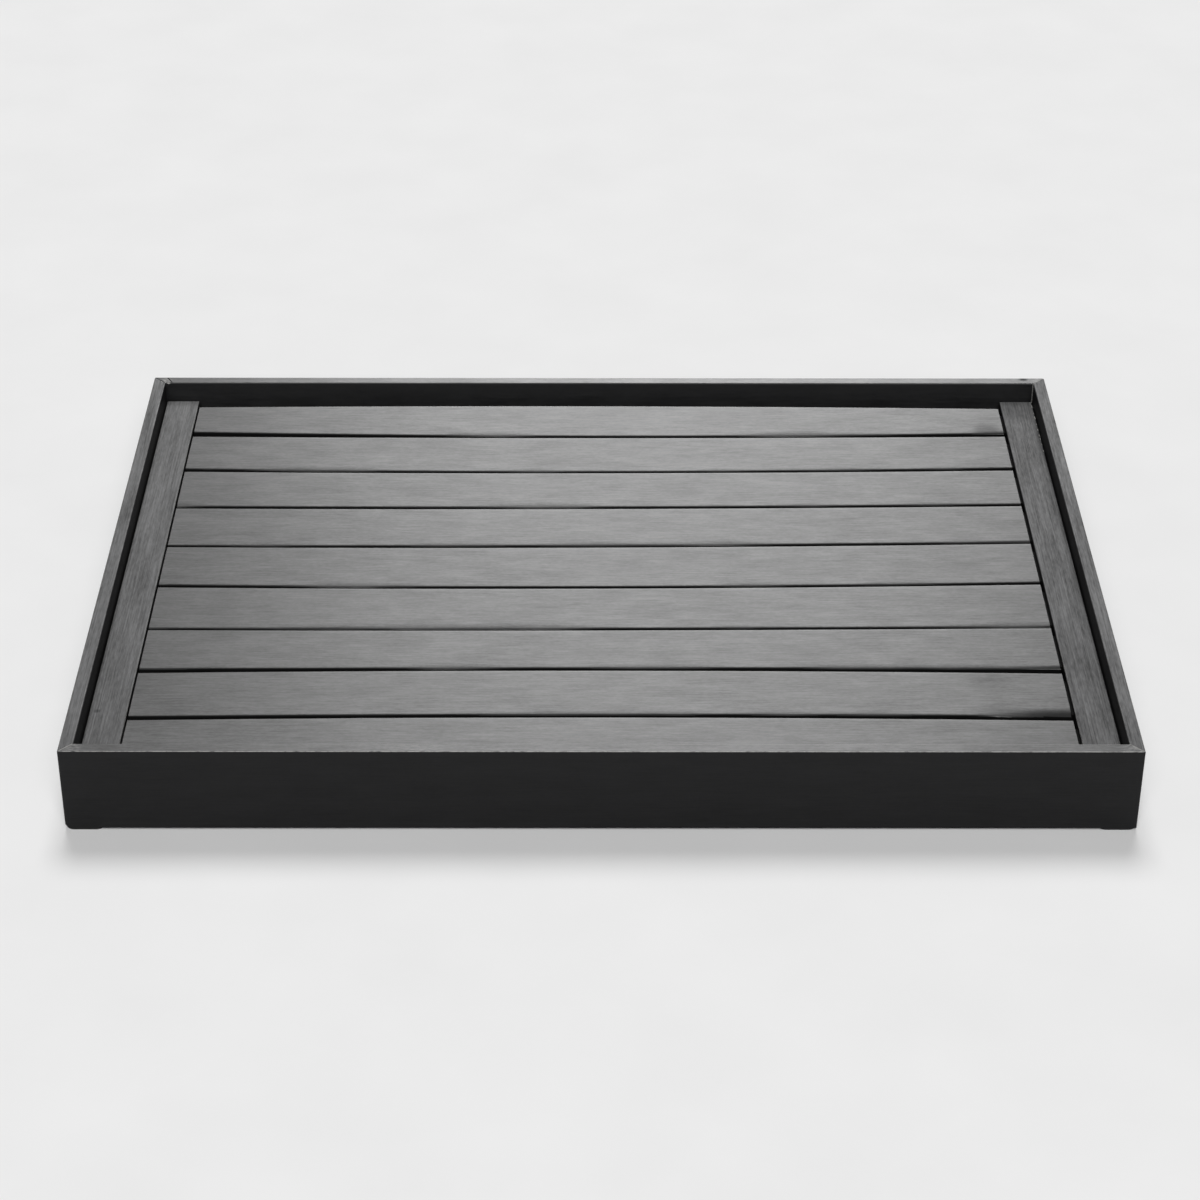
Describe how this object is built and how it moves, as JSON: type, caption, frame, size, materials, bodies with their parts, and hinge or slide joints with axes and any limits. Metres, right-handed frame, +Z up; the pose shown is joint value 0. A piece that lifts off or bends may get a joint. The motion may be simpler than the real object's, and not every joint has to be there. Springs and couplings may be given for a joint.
{
  "type": "gongfu tea tray",
  "caption": "Low mitred tray frame with a lift-out grille of slats that drains spilt tea into a loose pan below it.",
  "frame": {"origin": "on the surface the tray stands on, under the middle of its plan", "axes": "+X along the tray's long side, which is the front as pictured seen from -Y; +Y to the back; +Z up"},
  "size_m": [0.45, 0.328, 0.0402],
  "materials": {
    "stained_frame": "black stained, satin, lightly sanded",
    "stained_slat": "black stained, satin, planed along the grain",
    "stained_stile": "black stained, satin",
    "stained_inner_wood": "black stained, matt",
    "plain_spline": "unfinished hardwood strip, glued in",
    "base_plywood": "thin plywood, black stained, matt",
    "steel_fastener": "zinc plated",
    "foot_rubber": "black, self-adhesive",
    "pan_plastic": "moulded, fine matt texture"
  },
  "bodies": {
    "tray": {"front_wall": "stained_frame", "back_wall": "stained_frame", "left_wall": "stained_frame", "right_wall": "stained_frame", "base_panel": "base_plywood", "base_brads": "steel_fastener", "front_left_spline": "plain_spline", "front_right_spline": "plain_spline", "back_left_spline": "plain_spline", "back_right_spline": "plain_spline", "left_ledge": "stained_inner_wood", "right_ledge": "stained_inner_wood", "left_ledge_pins": "steel_fastener", "right_ledge_pins": "steel_fastener", "front_left_foot": "foot_rubber", "front_right_foot": "foot_rubber", "back_left_foot": "foot_rubber", "back_right_foot": "foot_rubber"},
    "grille": {"left_stile": "stained_stile", "right_stile": "stained_stile", "slat_1": "stained_slat", "slat_2": "stained_slat", "slat_3": "stained_slat", "slat_4": "stained_slat", "slat_5": "stained_slat", "slat_6": "stained_slat", "slat_7": "stained_slat", "slat_8": "stained_slat", "slat_9": "stained_slat", "left_batten": "stained_inner_wood", "right_batten": "stained_inner_wood", "left_batten_screws": "steel_fastener", "right_batten_screws": "steel_fastener"},
    "pan": {"drip_pan": "pan_plastic"}
  },
  "joints": [
    {"name": "grille_lift", "type": "slide", "parent": "tray", "child": "grille", "axis": [0, 0, 1], "range_m": [0, 0.1]},
    {"name": "pan_lift", "type": "slide", "parent": "tray", "child": "pan", "axis": [0, 0, 1], "range_m": [0, 0.045]}
  ],
  "couplings": [
    {"joint": "pan_lift", "follows": "grille_lift", "ratio": 0.45}
  ]
}
